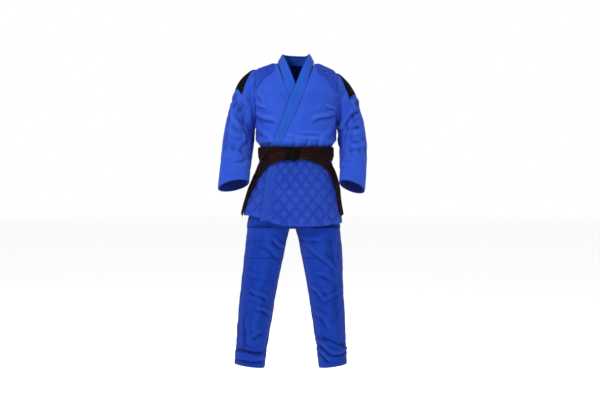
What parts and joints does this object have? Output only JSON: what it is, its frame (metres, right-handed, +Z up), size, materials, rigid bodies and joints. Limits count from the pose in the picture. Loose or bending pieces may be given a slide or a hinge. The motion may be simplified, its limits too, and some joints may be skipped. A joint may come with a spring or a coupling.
{
  "type": "martial arts uniform",
  "caption": "Judo-style uniform as worn: wrapped jacket with quilted skirt, knotted belt and straight-leg trousers; sleeves, knees, back skirt and belt ends move.",
  "frame": {"origin": "midway between the shoulders at the level of the neck hole, where the jacket rests on what wears or holds it", "axes": "+Z up along the standing uniform, +X towards the wearer's left, -Y to the front"},
  "size_m": [0.6819, 0.3383, 1.4709],
  "materials": {
    "jacket_weave": "matt blue rice-weave cotton",
    "skirt_quilting": "matt blue cotton quilted in diamonds",
    "lapel_band": "smooth blue cotton band with parallel stitch rows",
    "trouser_twill": "matt darker blue cotton twill",
    "black_strip": "plain black woven strip, soft sheen",
    "belt_cotton": "dark brown-black cotton satin with stitch rows"
  },
  "bodies": {
    "jacket": {"back_panel_left": "jacket_weave", "back_panel_right": "jacket_weave", "front_panel_left": "jacket_weave", "front_panel_right": "jacket_weave", "shoulder_yoke_left": "jacket_weave", "shoulder_yoke_right": "jacket_weave", "lapel_left": "lapel_band", "lapel_right": "lapel_band", "collar_back": "lapel_band", "skirt_front_left": "skirt_quilting", "skirt_front_right": "skirt_quilting", "belt_inner_turn": "belt_cotton", "belt_outer_turn": "belt_cotton", "belt_knot": "belt_cotton", "belt_tail_left": "belt_cotton", "belt_tail_right": "belt_cotton"},
    "sleeve_left": {"sleeve_left": "jacket_weave", "cuff_facing_left": "jacket_weave", "shoulder_strip_left": "black_strip"},
    "sleeve_right": {"sleeve_right": "jacket_weave", "cuff_facing_right": "jacket_weave", "shoulder_strip_right": "black_strip"},
    "skirt_back": {"skirt_back_left": "skirt_quilting", "skirt_back_right": "skirt_quilting"},
    "belt_end_left": {"belt_tail_left_end": "belt_cotton"},
    "belt_end_right": {"belt_tail_right_end": "belt_cotton"},
    "trousers": {"trouser_waistband": "trouser_twill", "trouser_seat_left": "trouser_twill", "trouser_seat_right": "trouser_twill", "crotch_gusset": "trouser_twill", "thigh_left": "trouser_twill", "thigh_right": "trouser_twill", "knee_patch_upper_left": "trouser_twill", "knee_patch_upper_right": "trouser_twill"},
    "lower_leg_left": {"shin_left": "trouser_twill", "knee_patch_lower_left": "trouser_twill", "trouser_hem_left": "trouser_twill"},
    "lower_leg_right": {"shin_right": "trouser_twill", "knee_patch_lower_right": "trouser_twill", "trouser_hem_right": "trouser_twill"}
  },
  "joints": [
    {"name": "sleeve_left_swing", "type": "hinge", "parent": "jacket", "child": "sleeve_left", "pos_m": [0.19, 0, -0.04055], "axis": [0, -1, 0], "range_deg": [0, 60]},
    {"name": "sleeve_right_swing", "type": "hinge", "parent": "jacket", "child": "sleeve_right", "pos_m": [-0.19, 0, -0.02345], "axis": [0, 1, 0], "range_deg": [0, 60]},
    {"name": "skirt_back_lift", "type": "hinge", "parent": "jacket", "child": "skirt_back", "pos_m": [0, 0.121, -0.434], "axis": [1, 0, 0], "range_deg": [0, 45]},
    {"name": "belt_end_left_swing", "type": "hinge", "parent": "jacket", "child": "belt_end_left", "pos_m": [0.1944, -0.0629, -0.5966], "axis": [-0.3631, -0.8979, -0.2488], "range_deg": [0, 50]},
    {"name": "belt_end_right_swing", "type": "hinge", "parent": "jacket", "child": "belt_end_right", "pos_m": [-0.2174, -0.0602, -0.5965], "axis": [-0.2949, 0.9005, 0.3196], "range_deg": [0, 50]},
    {"name": "trousers_drop", "type": "slide", "parent": "jacket", "child": "trousers", "axis": [0, 0, -1], "range_m": [0, 0.3]},
    {"name": "knee_left_bend", "type": "hinge", "parent": "trousers", "child": "lower_leg_left", "pos_m": [0.14176, 0, -1.07], "axis": [0.9942, 0, 0.1078], "range_deg": [0, 60]},
    {"name": "knee_right_bend", "type": "hinge", "parent": "trousers", "child": "lower_leg_right", "pos_m": [-0.17846, 0, -1.07], "axis": [0.9909, 0, -0.1344], "range_deg": [0, 60]}
  ]
}
